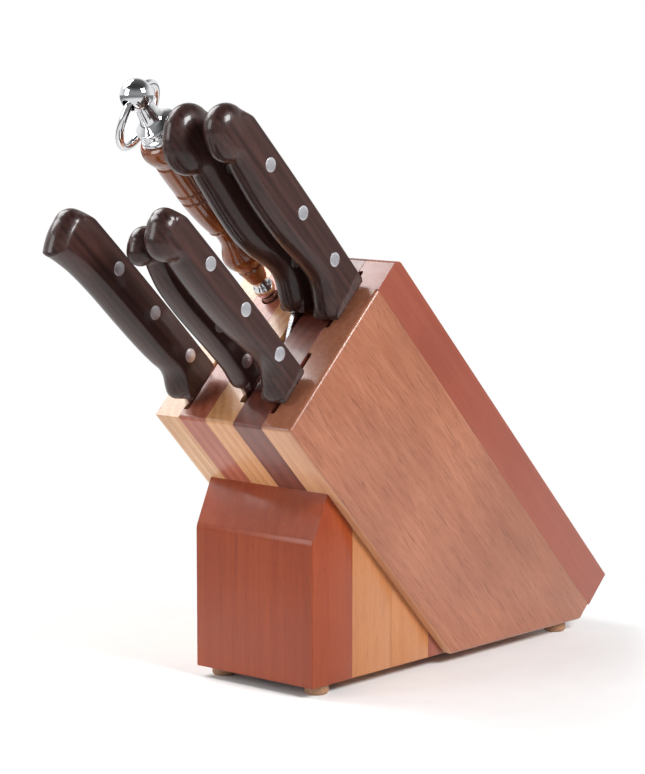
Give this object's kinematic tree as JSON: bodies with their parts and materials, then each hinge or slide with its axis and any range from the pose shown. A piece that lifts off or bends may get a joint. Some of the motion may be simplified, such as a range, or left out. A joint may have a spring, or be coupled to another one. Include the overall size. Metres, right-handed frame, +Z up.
{
  "type": "knife block with knives",
  "caption": "Slanted laminated-wood knife block on a wedge foot, holding riveted wood-handled knives and a sharpening steel with a hanging ring.",
  "frame": {"origin": "middle of the footprint box, on the surface that the feet stand on", "axes": "+Z up, +X across the boards towards the outer wide board, +Y back, away from the handles"},
  "size_m": [0.0912, 0.357, 0.3099],
  "materials": {
    "board_1_wood": "satin lacquered pale wood with dark streaks",
    "board_2_wood": "satin lacquered red wood",
    "board_3_wood": "satin lacquered light orange wood",
    "board_4_wood": "satin lacquered dark red wood",
    "board_5_wood": "satin lacquered pinkish tan wood",
    "back_strip_wood": "satin lacquered red wood",
    "wedge_front_wood": "satin lacquered red wood",
    "wedge_middle_wood": "satin lacquered light orange wood",
    "wedge_rear_wood": "satin lacquered dark red wood",
    "dowel_wood": "unfinished",
    "foot_rubber": "matt tan",
    "screw_steel": "zinc plated",
    "blade_steel": "fine satin ground",
    "handle_rosewood": "satin polished dark rosewood",
    "rivet_metal": "satin, flush with the wood",
    "rod_steel": "finely grooved along its length",
    "chrome": "mirror polished",
    "turned_wood": "high gloss lacquered turned wood"
  },
  "bodies": {
    "block": {"block_board_1": "board_1_wood", "block_board_2": "board_2_wood", "block_board_3": "board_3_wood", "block_board_4": "board_4_wood", "block_board_5": "board_5_wood", "block_back_strip": "back_strip_wood", "wedge_board_1": "wedge_front_wood", "wedge_board_2": "wedge_middle_wood", "wedge_board_3": "wedge_middle_wood", "wedge_board_4": "wedge_rear_wood", "wedge_dowels": "dowel_wood", "foot_front_left": "foot_rubber", "foot_front_right": "foot_rubber", "foot_rear_left": "foot_rubber", "foot_rear_right": "foot_rubber", "foot_screws": "screw_steel"},
    "knife_1": {"knife_1_blade": "blade_steel", "knife_1_handle": "handle_rosewood", "knife_1_rivets": "rivet_metal"},
    "knife_2": {"knife_2_blade": "blade_steel", "knife_2_handle": "handle_rosewood", "knife_2_rivets": "rivet_metal"},
    "knife_3": {"knife_3_blade": "blade_steel", "knife_3_handle": "handle_rosewood", "knife_3_rivets": "rivet_metal"},
    "knife_4": {"knife_4_blade": "blade_steel", "knife_4_handle": "handle_rosewood", "knife_4_rivets": "rivet_metal"},
    "knife_5": {"knife_5_blade": "blade_steel", "knife_5_handle": "handle_rosewood", "knife_5_rivets": "rivet_metal"},
    "steel": {"steel_rod": "rod_steel", "steel_guard_ball": "chrome", "steel_handle": "turned_wood", "steel_cap": "chrome", "steel_finial": "chrome"},
    "ring": {"steel_ring": "chrome"}
  },
  "joints": [
    {"name": "knife_1_slide", "type": "slide", "parent": "block", "child": "knife_1", "axis": [0, -0.7242, 0.6896], "range_m": [0, 0.2]},
    {"name": "knife_2_slide", "type": "slide", "parent": "block", "child": "knife_2", "axis": [0, -0.7009, 0.7133], "range_m": [0, 0.108]},
    {"name": "knife_3_slide", "type": "slide", "parent": "block", "child": "knife_3", "axis": [0, -0.7169, 0.6972], "range_m": [0, 0.16]},
    {"name": "knife_4_slide", "type": "slide", "parent": "block", "child": "knife_4", "axis": [0, -0.6947, 0.7193], "range_m": [0, 0.212]},
    {"name": "knife_5_slide", "type": "slide", "parent": "block", "child": "knife_5", "axis": [0, -0.6947, 0.7193], "range_m": [0, 0.232]},
    {"name": "steel_slide", "type": "slide", "parent": "block", "child": "steel", "axis": [0, -0.673, 0.7396], "range_m": [0, 0.222]},
    {"name": "ring_swing", "type": "hinge", "parent": "steel", "child": "ring", "pos_m": [-0.0205, -0.12521, 0.30174], "axis": [0, 0.7396, 0.673], "range_deg": [0, 235]}
  ]
}
